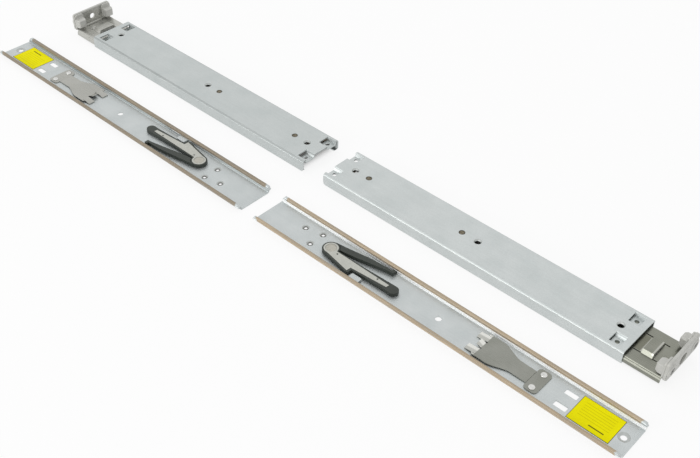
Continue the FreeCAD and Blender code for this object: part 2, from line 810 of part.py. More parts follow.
def bent_strip(length, rise, bend, low, high):
    """A strip of the leaf that leaves its end edge and is bent up by the angle rise."""
    slope = math.radians(rise)
    points = [(finger_root - 1.0, inner_sheet), (finger_root + 1.0, inner_sheet),
              (finger_root + 1.0 + length * math.cos(slope), inner_sheet + length * math.sin(slope))]
    return along_y(folded_sheet(points, [None, bend, None], leaf_sheet), low, high)


def latch_leaf():
    """The springy part of the latch: it rises from the hinge line and ends in two fingers and a tongue."""
    start, flare = leaf_outline()
    end = leaf_wide_end
    edges = []
    right = [V(x, -y, 0) for x, y in flare]
    left = [V(x, y, 0) for x, y in flare]
    lower = Part.BSplineCurve()
    lower.interpolate(right)
    upper = Part.BSplineCurve()
    upper.interpolate(left)
    edges.append(Part.LineSegment(V(start, -leaf_neck_half, 0), right[0]).toShape())
    edges.append(lower.toShape())
    edges.append(Part.LineSegment(right[-1], V(end - leaf_end_round, -leaf_half, 0)).toShape())
    bulge = leaf_end_round * (1 - math.sqrt(0.5))
    edges.append(Part.Arc(V(end - leaf_end_round, -leaf_half, 0), V(end - bulge, -leaf_half + bulge, 0),
                          V(end, -leaf_half + leaf_end_round, 0)).toShape())
    notch_half = finger_outer + 0.2
    edges.append(Part.LineSegment(V(end, -leaf_half + leaf_end_round, 0), V(end, -notch_half, 0)).toShape())
    notch = [(end, -notch_half), (finger_root, -notch_half), (finger_root, notch_half), (end, notch_half)]
    for index in range(3):
        a, b = notch[index], notch[index + 1]
        edges.append(Part.LineSegment(V(a[0], a[1], 0), V(b[0], b[1], 0)).toShape())
    edges.append(Part.LineSegment(V(end, notch_half, 0), V(end, leaf_half - leaf_end_round, 0)).toShape())
    edges.append(Part.Arc(V(end, leaf_half - leaf_end_round, 0), V(end - bulge, leaf_half - bulge, 0),
                          V(end - leaf_end_round, leaf_half, 0)).toShape())
    edges.append(Part.LineSegment(V(end - leaf_end_round, leaf_half, 0), left[-1]).toShape())
    edges.append(upper.toShape())
    edges.append(Part.LineSegment(left[0], V(start, leaf_neck_half, 0)).toShape())
    edges.append(Part.LineSegment(V(start, leaf_neck_half, 0), V(start, -leaf_neck_half, 0)).toShape())
    wire = Part.Wire(Part.__sortEdges__(edges))
    leaf = along_z(Part.Face(wire), inner_sheet, inner_sheet + leaf_sheet)
    pieces = [leaf]
    for low, high in ((-finger_outer, -finger_inner), (finger_inner, finger_outer)):
        pieces.append(bent_strip(finger_length, finger_rise, finger_bend, low, high))
    pieces.append(bent_strip(tongue_length, tongue_rise, tongue_bend, -tongue_half, tongue_half))
    body = joined(pieces)
    body.rotate(V(leaf_hinge, 0, inner_sheet), V(0, 1, 0), -leaf_rise)
    return body


def tangent_point(cx, cy, radius, x, y, side):
    """Where a straight edge from (x, y) touches a circle; side picks the left or right tangent."""
    distance = math.hypot(x - cx, y - cy)
    base = math.atan2(y - cy, x - cx)
    swing = math.acos(radius / distance)
    angle = base + side * swing
    return cx + radius * math.cos(angle), cy + radius * math.sin(angle)


def lever_outline():
    """The plastic lever seen from above: boss, tapering arm with a step, and a round tip."""
    first = tangent_point(pivot_x, pivot_y, lever_boss_radius, lever_edge[0][0], lever_edge[0][1], -1)
    tip_high = tangent_point(lever_tip[0], lever_tip[1], lever_tip_radius,
                             lever_edge[-1][0], lever_edge[-1][1], 1)
    tip_low = tangent_point(lever_tip[0], lever_tip[1], lever_tip_radius, lever_inner_edge[0][0],
                            lever_inner_edge[0][1], -1)
    end = lever_inner_edge[-1]
    last = (pivot_x - math.sqrt(lever_boss_radius ** 2 - (end[1] - pivot_y) ** 2), end[1])
    edges = []
    walk = [first] + list(lever_edge) + [tip_high]
    for a, b in zip(walk[:-1], walk[1:]):
        edges.append(Part.LineSegment(V(a[0], a[1], 0), V(b[0], b[1], 0)).toShape())
    edges.append(Part.Arc(V(tip_high[0], tip_high[1], 0), V(lever_tip[0] - lever_tip_radius, lever_tip[1], 0),
                          V(tip_low[0], tip_low[1], 0)).toShape())
    walk = [tip_low] + list(lever_inner_edge[:-1]) + [last]
    for a, b in zip(walk[:-1], walk[1:]):
        edges.append(Part.LineSegment(V(a[0], a[1], 0), V(b[0], b[1], 0)).toShape())
    edges.append(Part.Arc(V(last[0], last[1], 0), V(pivot_x + lever_boss_radius, pivot_y, 0),
                          V(first[0], first[1], 0)).toShape())
    return Part.Face(Part.Wire(Part.__sortEdges__(edges)))


def plate_body(grow, bottom, top):
    """The metal catch plate, a disc round the pivot and a stepped arm, larger all round by grow."""
    disc = upright(pivot_x, pivot_y, bottom, top, 2 * (plate_round_radius + grow))
    outline = list(plate_outline) + [plate_outline[0]]
    if grow > 0:
        outline = grown(plate_outline, grow)
        outline = outline + [outline[0]]
    face = Part.Face(Part.makePolygon([V(x, y, 0) for x, y in outline]))
    return joined([disc, along_z(face, bottom, top)])


def release_lever():
    body = along_z(lever_outline(), lever_bottom, lever_top)
    vertical = [edge for edge in body.Edges
                if edge.BoundBox.ZLength > 1 and abs(edge.Vertexes[0].X - lever_edge[1][0]) < 0.05
                and abs(edge.Vertexes[0].Y - lever_edge[2][1]) < 0.05]
    body = body.makeFillet(0.8, vertical)
    body = body.cut(plate_body(plate_fit, lever_top - plate_recess, lever_top + 1))
    body = body.cut(upright(pivot_x, pivot_y, 0, 6, pivot_shank + 2 * pivot_fit))
    return body


def lever_plate():
    bottom = lever_top - plate_recess
    body = plate_body(0.0, bottom, lever_top + plate_proud)
    body = body.cut(upright(pivot_x, pivot_y, bottom - 1, lever_top + 1, pivot_head + 2 * pivot_head_fit))
    return body


def lever_pivot():
    """A shouldered rivet: fixed in the web, with a broad head in the eye of the plate."""
    head_top = lever_top + plate_proud - pivot_head_sink
    head_bottom = lever_top - plate_recess + pivot_fit
    shank = upright(pivot_x, pivot_y, 0.1, head_bottom + 0.2, pivot_shank)
    head = upright(pivot_x, pivot_y, head_bottom, head_top, pivot_head)
    ring = [edge for edge in head.Edges if abs(edge.BoundBox.ZMin - head_top) < 1e-4]
    head = head.makeChamfer(0.2, ring)
    return joined([shank, head])


def spring_leg():
    """The springy second leg of the lever, its foot held in the window of the side wall."""
    root = tangent_point(pivot_x, pivot_y, lever_boss_radius + spring_leg_fit, spring_leg_outer[0][0],
                         spring_leg_outer[0][1], 1)
    points = [root] + list(spring_leg_outer)
    points += [(spring_foot_end, spring_leg_outer[-1][1]), (spring_foot_end, spring_foot_reach),
               (spring_foot_start, spring_foot_reach), (spring_foot_start, spring_foot_inner)]
    points += list(spring_leg_inner)
    points += [(pivot_x - 2, pivot_y - 3)]
    face = Part.Face(Part.makePolygon([V(x, y, 0) for x, y in points + [points[0]]]))
    disc = Part.Face(Part.Wire([Part.makeCircle(lever_boss_radius + spring_leg_fit, V(pivot_x, pivot_y, 0))]))
    leg = along_z(face.cut(disc).Faces[0], lever_bottom, lever_top)
    toe = block(spring_foot_start, spring_foot_end, spring_toe_reach, spring_foot_reach + 0.5,
                window_low + spring_toe_fit, window_high - spring_toe_fit)
    return joined([leg, toe])


# Placing the pieces and writing them out

def place_outer(shape, right):
    placed = shape.copy()
    if right:
        placed = placed.mirror(V(0, 0, 0), V(1, 0, 0))
        placed.translate(V(outer_right_x, outer_row_y, 0))
    else:
        placed.translate(V(outer_left_x, outer_row_y, 0))
    return placed


def place_inner(shape, right):
    placed = shape.copy()
    if right:
        placed.rotate(V(0, 0, 0), V(0, 0, 1), 180)
        placed.translate(V(inner_end_x, inner_row_y, 0))
    else:
        placed.translate(V(-inner_end_x, inner_row_y, 0))
    return placed


outer_pieces = {
    "outer_channel": outer_channel(),
    "race_member": race_member(),
    "race_rivets": race_rivets(),
    "ball_cage": ball_cage(),
    "cage_balls": cage_balls(),
    "telescoping_bracket": bracket(),
    "end_cap": end_cap(),
    "lower_rack_peg": peg_block(-1),
    "upper_rack_peg": peg_block(1),
    "peg_screws": peg_screws(),
}

inner_pieces = {
    "inner_rail": inner_rail(),
    "label": label(),
    "latch_foot": leaf_base(),
    "latch_rivets": leaf_rivets(),
    "latch_leaf": latch_leaf(),
    "release_lever": release_lever(),
    "lever_catch_plate": lever_plate(),
    "lever_pivot": lever_pivot(),
    "lever_spring_leg": spring_leg(),
}

for name, shape in outer_pieces.items():
    place_outer(shape, False).exportStep("parts/left_" + name + ".step")
    place_outer(shape, True).exportStep("parts/right_" + name + ".step")

for name, shape in inner_pieces.items():
    place_inner(shape, False).exportStep("parts/left_" + name + ".step")
    place_inner(shape, True).exportStep("parts/right_" + name + ".step")
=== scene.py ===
# Looks of a server rail pair: two outer rails with their rack brackets and two inner rails on a pale floor
import json
import math

import bpy
import bmesh
import numpy as np
from mathutils import Matrix, Vector

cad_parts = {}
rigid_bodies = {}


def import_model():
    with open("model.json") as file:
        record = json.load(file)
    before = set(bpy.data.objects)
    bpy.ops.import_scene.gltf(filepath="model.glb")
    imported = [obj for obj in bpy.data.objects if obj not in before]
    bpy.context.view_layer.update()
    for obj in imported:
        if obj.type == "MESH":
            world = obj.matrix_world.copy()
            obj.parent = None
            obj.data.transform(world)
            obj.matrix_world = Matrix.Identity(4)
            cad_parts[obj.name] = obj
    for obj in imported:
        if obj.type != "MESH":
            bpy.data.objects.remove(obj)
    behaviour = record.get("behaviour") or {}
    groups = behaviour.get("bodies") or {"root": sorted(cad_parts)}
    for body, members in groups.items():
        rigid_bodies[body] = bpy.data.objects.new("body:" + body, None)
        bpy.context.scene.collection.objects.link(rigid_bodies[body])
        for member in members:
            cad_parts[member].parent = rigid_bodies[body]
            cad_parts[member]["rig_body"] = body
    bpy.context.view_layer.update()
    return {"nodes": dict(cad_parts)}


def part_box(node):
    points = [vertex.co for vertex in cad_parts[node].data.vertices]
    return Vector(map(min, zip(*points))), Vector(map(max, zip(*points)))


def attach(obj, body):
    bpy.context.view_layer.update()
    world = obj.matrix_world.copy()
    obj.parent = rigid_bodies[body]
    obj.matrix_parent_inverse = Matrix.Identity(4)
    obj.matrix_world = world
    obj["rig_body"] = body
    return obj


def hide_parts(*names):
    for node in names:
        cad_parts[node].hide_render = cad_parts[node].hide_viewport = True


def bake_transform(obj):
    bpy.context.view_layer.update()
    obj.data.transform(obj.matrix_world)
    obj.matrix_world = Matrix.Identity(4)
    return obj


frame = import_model()
nodes = frame["nodes"]
mm = 0.001
sides = ("left", "right")
print("frame loaded:", len(nodes), "nodes")

# Where the rails lie, in millimetres: the bracket end of each outer rail and the label end of the inner
# ones along X, and the middle of each row in Y
layout = {"outerEnd": {"left": -287.0, "right": 296.0}, "outerRow": 35.6,
          "innerEnd": 338.0, "innerRow": -39.5}
outerRow = layout["outerRow"] * mm
innerRow = layout["innerRow"] * mm


# A point of an outer rail, in millimetres along, across and up from its bracket end, placed on the floor
def onOuter(side, points):
    along, across, up = np.moveaxis(np.asarray(points, float), -1, 0)
    x = layout["outerEnd"][side] + (along if side == "left" else -along)
    return np.stack([x, across + layout["outerRow"], up], axis=-1) * mm


# The same for an inner rail, from its label end; the right one is the left one turned half round
def onInner(side, points):
    along, across, up = np.moveaxis(np.asarray(points, float), -1, 0)
    turn = 1.0 if side == "left" else -1.0
    x = turn * (along - layout["innerEnd"])
    return np.stack([x, turn * across + layout["innerRow"], up], axis=-1) * mm


# A shader node with its input values, its links and its settings
def put(tree, kind, values=None, links=None, **settings):
    node = tree.nodes.new("ShaderNode" + kind)
    for key, value in settings.items():
        setattr(node, key, value)
    for key, value in (values or {}).items():
        node.inputs[key].default_value = value
    for key, socket in (links or {}).items():
        tree.links.new(socket, node.inputs[key])
    return node


def rgba(colour):
    return (*colour, 1.0)


everyWay = (1.0, 1.0, 1.0)  # how far a noise is drawn out along X, Y and Z
alongRail = (0.03, 1.0, 1.0)


def noise(tree, coords, scale, detail=3.0, stretch=everyWay):
    moved = put(tree, "Mapping", {"Scale": stretch}, {"Vector": coords})
    node = put(tree, "TexNoise", {"Scale": scale, "Detail": detail}, {"Vector": moved.outputs[0]})
    return node.outputs["Fac"]


# A value that runs from a to b while the driving value runs from low to high
def remap(tree, driver, low, high, a=0.0, b=1.0, smooth=False):
    limits = {"From Min": low, "From Max": high, "To Min": a, "To Max": b}
    node = put(tree, "MapRange", limits, {"Value": driver})
    node.interpolation_type = "SMOOTHSTEP" if smooth else "LINEAR"
    return node.outputs["Result"]


# One step of arithmetic on one or two values, each a number or a socket
def worked(tree, operation, a, b=None):
    node = put(tree, "Math", operation=operation)
    for index, value in enumerate((a, b)):
        if value is None:
            continue
        if isinstance(value, (int, float)):
            node.inputs[index].default_value = value
        else:
            tree.links.new(value, node.inputs[index])
    return node.outputs[0]


def times(tree, a, b):
    return worked(tree, "MULTIPLY", a, b)


def larger(tree, a, b):
    return worked(tree, "MAXIMUM", a, b)


def minus(tree, a, b):
    return worked(tree, "SUBTRACT", a, b)


def absolute(tree, a):
    return worked(tree, "ABSOLUTE", a)


# How far a value is from a centre, either way
def distance(tree, value, centre):
    return absolute(tree, minus(tree, value, centre))


# A mask that rises over one pair of limits and falls again over another
def between(tree, value, rising, falling, smooth=False):
    return times(tree, remap(tree, value, *rising, smooth=smooth),
                 remap(tree, value, *falling, smooth=smooth))


# A mask between two values, with edges of one softness
def band(tree, value, start, end, soft, smooth=False):
    return between(tree, value, (start - soft, start + soft), (end + soft, end - soft), smooth)


# Two colours or two values mixed by a factor; each may be a constant or a socket
def mixed(tree, factor, a, b, kind="RGBA"):
    node = put(tree, "Mix", data_type=kind)
    first, result = {"RGBA": (6, 2), "FLOAT": (2, 0)}[kind]  # the places of these sockets on a Mix node
    for index, value in ((0, factor), (first, a), (first + 1, b)):
        if isinstance(value, (int, float)):
            node.inputs[index].default_value = value
        elif isinstance(value, tuple):
            node.inputs[index].default_value = rgba(value)
        else:
            tree.links.new(value, node.inputs[index])
    return node.outputs[result]


def axes(tree, coords):
    return put(tree, "SeparateXYZ", links={"Vector": coords}).outputs


# The shader's colour or roughness changed to another where a mask is 1
def recolour(tree, shader, mask, colour):
    socket = shader.inputs["Base Color"]
    tree.links.new(mixed(tree, mask, socket.links[0].from_socket, colour), socket)


def roughen(tree, shader, mask, rough):
    socket = shader.inputs["Roughness"]
    tree.links.new(mixed(tree, mask, socket.links[0].from_socket, rough, "FLOAT"), socket)


def newMaterial(name):
    material = bpy.data.materials.new(name)
    material.use_nodes = True
    tree = material.node_tree
    coords = put(tree, "TexCoord").outputs["Object"]
    return material, tree, tree.nodes["Principled BSDF"], coords


cloudSpan = (0.3, 0.7)  # most points of a noise lie between these values
lineSpan = (0.35, 0.65)
lineRough = 0.03  # how much the fine lines change the roughness, either way
grainDepth = 0.00004


# The finish that all pieces share: soft clouds of two shades, fine grain and fine lines.
# Places in the materials below are in metres, as the object coordinates are.
def finished(name, look):
    material, tree, shader, coords = newMaterial(name)
    clouds = noise(tree, coords, look["clouds"], detail=4.0)
    grain = noise(tree, coords, look["grain"], detail=2.0)
    lines = noise(tree, coords, look["lines"], detail=3.0, stretch=look["linesStretch"])
    shade = mixed(tree, remap(tree, clouds, *cloudSpan), look["dark"], look["light"])
    speckle = remap(tree, grain, *cloudSpan, 1.0 - look["speckle"], 1.0 + look["speckle"])
    streak = remap(tree, lines, *lineSpan, 1.0 - look["streak"], 1.0 + look["streak"])
    colour = put(tree, "VectorMath", links={0: shade}, operation="SCALE")
    tree.links.new(times(tree, speckle, streak), colour.inputs["Scale"])
    tree.links.new(colour.outputs[0], shader.inputs["Base Color"])
    rough = worked(tree, "ADD", remap(tree, clouds, *cloudSpan, *look["rough"]),
                   remap(tree, lines, *lineSpan, -lineRough, lineRough))
    tree.links.new(rough, shader.inputs["Roughness"])
    shader.inputs["Metallic"].default_value = look["metallic"]
    relief = worked(tree, "ADD", grain, times(tree, lines, look["linesDepth"]))
    bump = put(tree, "Bump", {"Strength": look["bump"], "Distance": grainDepth}, {"Height": relief})
    tree.links.new(bump.outputs[0], shader.inputs["Normal"])
    return material, tree, shader, coords


zincLook = {"dark": (0.545, 0.58, 0.575), "light": (0.60, 0.63, 0.625), "clouds": 60.0, "grain": 1700.0,
            "lines": 900.0, "linesStretch": alongRail, "speckle": 0.05, "streak": 0.02,
            "rough": (0.34, 0.42), "metallic": 0.85, "bump": 0.08, "linesDepth": 0.5}


# The left outer channel is a shaded copy of the right one: its zinc is a little darker, as painted shade.
# The bends of the outer channels are duller than the flat sheet. Those of the left one carry a painted
# shade line, which fades towards its inner end.
def zincMaterial(side):
    # the left look is a painted-shade copy of zincLook
    looks = {"left": dict(zincLook, dark=(0.51, 0.545, 0.54), light=(0.56, 0.59, 0.585)), "right": zincLook}
    bend = {"rising": (0.0101, 0.0104), "falling": (0.01146, 0.01136), "fading": (-0.20, -0.06, 1.0, 0.35),
            "left": {"shade": 0.80, "rough": 0.85, "metallic": 0.3},
            "right": {"shade": 1.0, "rough": 0.56, "metallic": 0.75}}
    material, tree, shader, coords = finished("zincPlate." + side, looks[side])
    place = axes(tree, coords)
    onBend = between(tree, place["Z"], bend["rising"], bend["falling"], smooth=True)
    plain = shader.inputs["Base Color"].links[0].from_socket
    paintedBendShade = put(tree, "VectorMath", {"Scale": bend[side]["shade"]}, {0: plain}, operation="SCALE")
    # painted shade line along the left bend, fading towards the inner end
    recolour(tree, shader, times(tree, onBend, remap(tree, place["X"], *bend["fading"])), paintedBendShade.outputs[0])
    roughen(tree, shader, onBend, bend[side]["rough"])
    metallic = mixed(tree, onBend, looks[side]["metallic"], bend[side]["metallic"], "FLOAT")
    tree.links.new(metallic, shader.inputs["Metallic"])
    return material


# The inner rails carry brown grease on their rolled edges, worn away just before the ends. Their inner
# walls carry painted light: a painted highlight on the right rail, and bluish painted shade on the left
# one, deepest near its label.
def greasedZinc():
    look = dict(zincLook, dark=(0.53, 0.565, 0.565), light=(0.60, 0.63, 0.63), rough=(0.40, 0.47),
                bump=0.015)
    bead = {"top": (0.00300, 0.00325), "outside": (0.0167, 0.0170), "inside": (0.0147, 0.0149)}
    ragged = {"scale": 260.0, "stretch": (0.3, 1.0, 1.0), "across": 0.0001, "along": 0.0012}
    grease = {"railMiddle": 0.173, "ends": (0.1612, 0.1600), "scale": 420.0, "stretch": (0.06, 1.0, 1.0),
              "cover": (0.25, 0.5, 0.72, 1.0), "left": ((0.225, 0.185, 0.135), (0.345, 0.29, 0.215)),
              "right": ((0.335, 0.265, 0.18), (0.50, 0.41, 0.295)), "rough": 0.48, "metallic": 0.35}
    # wall colours are painted light: painted shade on the left wall, a painted highlight on the right one
    wall = {"across": (0.0141, 0.0149), "foot": (0.0009, 0.0012), "clearing": (-0.26, -0.12),
            "deepestPaintedShade": (0.29, 0.33, 0.33), "paintedShade": (0.45, 0.49, 0.49), "paintedLight": (0.85, 0.86, 0.86),
            "metallic": 0.3}
    rightHalf = (-0.004, 0.004)  # inside the gap between the two inner rails

    material, tree, shader, coords = finished("greasedZinc", look)
    place = axes(tree, coords)
    edge = noise(tree, coords, ragged["scale"], stretch=ragged["stretch"])
    acrossRail = worked(tree, "ADD", distance(tree, place["Y"], innerRow),
                        remap(tree, edge, *cloudSpan, -ragged["across"], ragged["across"]))
    alongRun = worked(tree, "ADD", distance(tree, absolute(tree, place["X"]), grease["railMiddle"]),
                      remap(tree, edge, *cloudSpan, -ragged["along"], ragged["along"]))
    onBead = larger(tree, remap(tree, place["Z"], *bead["top"], smooth=True),
                    remap(tree, acrossRail, *bead["outside"], smooth=True))
    onBead = times(tree, onBead, remap(tree, acrossRail, *bead["inside"]))
    onRight = remap(tree, place["X"], *rightHalf)

    thick = noise(tree, coords, grease["scale"], detail=4.0, stretch=grease["stretch"])
    cover = times(tree, onBead, remap(tree, alongRun, *grease["ends"], smooth=True))
    cover = times(tree, cover, remap(tree, thick, *grease["cover"]))
    brown = remap(tree, thick, *cloudSpan)
    greaseColour = mixed(tree, onRight, mixed(tree, brown, *grease["left"]),
                         mixed(tree, brown, *grease["right"]))

    onWall = times(tree, remap(tree, acrossRail, *wall["across"], smooth=True),
                   remap(tree, place["Z"], *wall["foot"], smooth=True))
    onWall = times(tree, onWall, minus(tree, 1.0, onBead))
    clearing = remap(tree, place["X"], *wall["clearing"], smooth=True)
    leftWallShade = mixed(tree, clearing, wall["deepestPaintedShade"], wall["paintedShade"])

    # painted shade on the left inner wall, painted highlight on the right one
    recolour(tree, shader, onWall, mixed(tree, onRight, leftWallShade, wall["paintedLight"]))
    recolour(tree, shader, cover, greaseColour)
    roughen(tree, shader, cover, grease["rough"])
    bareMetal = mixed(tree, onWall, look["metallic"], wall["metallic"], "FLOAT")
    tree.links.new(mixed(tree, cover, bareMetal, grease["metallic"], "FLOAT"), shader.inputs["Metallic"])
    return material


# Stainless sheet; the left bracket and the left leaf are the brighter ones, and the two sides are lit and
# shaded copies of one sheet: painted light and painted shade
stainlessLook = {"dark": (0.36, 0.36, 0.33), "light": (0.43, 0.43, 0.395), "clouds": 70.0, "grain": 1400.0,
                 "lines": 1500.0, "linesStretch": alongRail, "speckle": 0.03, "streak": 0.03,
                 "rough": (0.24, 0.32), "metallic": 1.0, "bump": 0.06, "linesDepth": 1.0}


# The raised middle of the right bracket has two painted highlight lines across it and a painted shadow
# under the channel's edge. Both are measured along the rail from the channel's bracket end.
def bracketMaterial(side):
    # lit and shaded copies of one sheet: painted light on the left, painted shade on the right
    look = {"left": dict(stainlessLook, dark=(0.44, 0.44, 0.41), light=(0.53, 0.53, 0.495), metallic=0.65),
            "right": dict(stainlessLook, dark=(0.235, 0.24, 0.205), light=(0.28, 0.285, 0.245))}[side]
    material, tree, shader, coords = finished("stainlessSheet." + side, look)
    if side == "left":
        return material
    raised = {"across": (0.0084, 0.0080), "edge": (0.0062, 0.0050), "edgeShadowColour": (0.12, 0.115, 0.07),
              "edgeShadowStrength": 0.45, "firstLine": 0.0062, "firstSoft": (0.0007, 0.0003),
              "secondLine": 0.0146, "secondSoft": (0.0008, 0.0004), "highlightColour": (0.60, 0.60, 0.56),
              "highlightStrength": 0.6}
    place = axes(tree, coords)
    fromEnd = minus(tree, place["X"], layout["outerEnd"][side] * mm)
    onRaised = remap(tree, distance(tree, place["Y"], outerRow), *raised["across"])
    # painted shadow under the channel's edge
    paintedEdgeShadow = times(tree, onRaised, remap(tree, fromEnd, *raised["edge"], smooth=True))
    recolour(tree, shader, times(tree, paintedEdgeShadow, raised["edgeShadowStrength"]), raised["edgeShadowColour"])
    # two painted highlight lines across the raised middle
    paintedLight = larger(tree, remap(tree, distance(tree, fromEnd, raised["firstLine"]), *raised["firstSoft"]),
                    remap(tree, distance(tree, fromEnd, raised["secondLine"]), *raised["secondSoft"]))
    onPaintedHighlight = times(tree, times(tree, onRaised, paintedLight), raised["highlightStrength"])
    recolour(tree, shader, onPaintedHighlight, raised["highlightColour"])
    return material


# The fingers and the tongue of the leaf carry a painted highlight, strongest on one half of each; the
# halves are spans in Y
def leafMaterial(side):
    # left and right leaves are lit and shaded copies: painted light and painted shade
    look = {"left": dict(stainlessLook, dark=(0.385, 0.385, 0.355), light=(0.435, 0.435, 0.405)),
            "right": dict(stainlessLook, dark=(0.265, 0.27, 0.24), light=(0.31, 0.315, 0.285))}[side]
    tipHighlight = {"left": (0.43, 0.43, 0.40), "right": (0.74, 0.74, 0.70), "tips": (0.2196, 0.2188),
            "halves": ((-0.0320, -0.0285), (-0.0400, -0.0362), (-0.0468, -0.0432)), "soft": 0.0006,
            "elsewhere": 0.45}
    material, tree, shader, coords = finished("leafStainless." + side, look)
    place = axes(tree, coords)
    highlightSpan = 0.0
    for start, end in tipHighlight["halves"]:
        highlightSpan = larger(tree, highlightSpan, band(tree, place["Y"], start, end, tipHighlight["soft"], smooth=True))
    tips = remap(tree, absolute(tree, place["X"]), *tipHighlight["tips"], smooth=True)
    tips = times(tree, tips, remap(tree, highlightSpan, 0.0, 1.0, tipHighlight["elsewhere"], 1.0))
    # painted highlight on the fingers and the tongue
    recolour(tree, shader, tips, tipHighlight[side])
    return material


# The rivets of the race member are brown, with a dark rim
def bronzeMaterial():
    look = dict(zincLook, dark=(0.07, 0.06, 0.04), light=(0.25, 0.22, 0.16), clouds=900.0,
                rough=(0.2, 0.45), linesStretch=everyWay, metallic=0.9, bump=0.5)
    rim = {"height": (0.01134, 0.01139), "colour": (0.035, 0.03, 0.02)}
    material, tree, shader, coords = finished("brownRivet", look)
    recolour(tree, shader, remap(tree, axes(tree, coords)["Z"], *rim["height"]), rim["colour"])
    return material


# The label is yellow film with a thin dark border, one short broad bar and rows of thin ruled bars.
# It is measured from its middle: "along" grows towards the rail end, "across" towards the broad bar.
def labelMaterial(side):
    look = {"dark": (0.90, 0.83, 0.001), "light": (0.95, 0.88, 0.001), "clouds": 90.0, "grain": 1200.0,
            "lines": 400.0, "linesStretch": everyWay, "speckle": 0.02, "streak": 0.01,
            "rough": (0.5, 0.6), "metallic": 0.0, "bump": 0.1, "linesDepth": 0.4, "specular": 0.06,
            "soft": 0.00012}
    rules = {"across": (-0.0092, 0.0052), "along": (-0.0118, 0.0118), "pitch": 0.00235, "shift": 0.05,
             "edge": (0.00028, 0.00016), "ink": (0.47, 0.42, 0.002), "strength": 0.55}
    bar = {"across": (0.0071, 0.0081), "along": (-0.0012, 0.0102), "ink": (0.05, 0.045, 0.01),
           "strength": 0.85}
    border = {"edge": (0.00042, 0.0003), "ink": (0.12, 0.115, 0.02)}

    material, tree, shader, coords = finished("yellowFilm." + side, look)
    shader.inputs["Specular IOR Level"].default_value = look["specular"]
    low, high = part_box(side + "_label")
    middle = (low + high) / 2
    half = (high - low) / 2
    turn = -1.0 if side == "left" else 1.0
    place = axes(tree, coords)
    along = times(tree, minus(tree, place["X"], middle.x), turn)
    across = times(tree, minus(tree, place["Y"], middle.y), -turn)

    # A mask for the film between the limits of one form
    def within(form):
        return times(tree, band(tree, across, *form["across"], look["soft"]),
                     band(tree, along, *form["along"], look["soft"]))

    row = worked(tree, "PINGPONG", worked(tree, "ADD", across, rules["shift"]), rules["pitch"] / 2)
    onRule = times(tree, remap(tree, row, *rules["edge"]), within(rules))
    recolour(tree, shader, times(tree, onRule, rules["strength"]), rules["ink"])
    recolour(tree, shader, times(tree, within(bar), bar["strength"]), bar["ink"])
    inwards = worked(tree, "MINIMUM", minus(tree, half.x, absolute(tree, along)),
                     minus(tree, half.y, absolute(tree, across)))
    recolour(tree, shader, remap(tree, inwards, *border["edge"]), border["ink"])
    return material


mouthLook = dict(zincLook, dark=(0.40, 0.42, 0.41), light=(0.50, 0.52, 0.51), clouds=400.0,
                 rough=(0.2, 0.3), linesStretch=everyWay, metallic=1.0)
# near black: painted shade inside the drawn holes
wellLook = dict(mouthLook, dark=(0.05, 0.05, 0.045), light=(0.10, 0.10, 0.09))
raceLook = dict(zincLook, dark=(0.33, 0.27, 0.20), light=(0.50, 0.43, 0.33), rough=(0.30, 0.45),
                streak=0.10)
cageLook = dict(zincLook, dark=(0.42, 0.42, 0.39), light=(0.55, 0.55, 0.52))
ballLook = dict(zincLook, dark=(0.62, 0.62, 0.62), light=(0.72, 0.72, 0.72), rough=(0.08, 0.14), bump=0.04,
                metallic=1.0, linesStretch=everyWay)
rivetLook = dict(zincLook, dark=(0.60, 0.60, 0.58), light=(0.74, 0.74, 0.72), clouds=500.0,
                 rough=(0.10, 0.18), linesStretch=everyWay, metallic=1.0)
plateLook = dict(zincLook, dark=(0.47, 0.475, 0.435), light=(0.53, 0.535, 0.49), clouds=220.0,
                 rough=(0.34, 0.42), speckle=0.04)
pivotLook = dict(zincLook, dark=(0.42, 0.41, 0.355), light=(0.50, 0.485, 0.43), clouds=420.0,
                 rough=(0.32, 0.42), linesStretch=everyWay, metallic=0.7)
# dark screws, and painted shade on the chassis hole threads
screwLook = dict(zincLook, dark=(0.15, 0.15, 0.14), light=(0.24, 0.24, 0.225), clouds=600.0,
                 rough=(0.35, 0.5), linesStretch=everyWay)
castingLook = {"dark": (0.50, 0.50, 0.47), "light": (0.575, 0.575, 0.545), "clouds": 110.0, "grain": 1500.0,
               "lines": 300.0, "linesStretch": everyWay, "speckle": 0.04, "streak": 0.02,
               "rough": (0.48, 0.62), "metallic": 0.25, "bump": 0.5, "linesDepth": 0.3}
plasticLook = {"dark": (0.020, 0.026, 0.020), "light": (0.031, 0.038, 0.030), "clouds": 160.0,
               "grain": 2200.0, "lines": 500.0, "linesStretch": everyWay, "speckle": 0.12,
               "streak": 0.05, "rough": (0.36, 0.5), "metallic": 0.0, "bump": 0.4, "linesDepth": 0.2}

zinc = {side: zincMaterial(side) for side in sides}
greased = greasedZinc()
mouthSteel = finished("pressedMouth", mouthLook)[0]
shadedWellSteel = finished("darkWell", wellLook)[0]
stainless = {side: bracketMaterial(side) for side in sides}
leafSteel = {side: leafMaterial(side) for side in sides}
raceSteel = finished("oiledRaceSteel", raceLook)[0]
bronze = bronzeMaterial()
cageSteel = finished("cageSteel", cageLook)[0]
ballSteel = finished("polishedBall", ballLook)[0]
rivetSteel = finished("platedRivet", rivetLook)[0]
plateSteel = finished("catchPlate", plateLook)[0]
pivotSteel = finished("pivotHead", pivotLook)[0]
screwAndThreadShadeSteel = finished("darkScrewAndThreadShade", screwLook)[0]
casting = finished("greyCasting", castingLook)[0]
plastic = finished("mouldedBlack", plasticLook)[0]
labelFilms = {side: labelMaterial(side) for side in sides}
print("materials made:", len(bpy.data.materials))

# How a node's triangles are merged to whole faces, and which of its edges are rounded or stay sharp
refining = {"merge": 2e-6, "flatAngle": 0.6, "bevelAngle": 28, "sharpAngle": 40, "flatWeight": 90}
rounding = {"none": 0.0, "thinSheet": 0.12, "latch": 0.15, "sheet": 0.16, "casting": 0.2, "leg": 0.3,
            "lever": 0.45}  # in millimetres


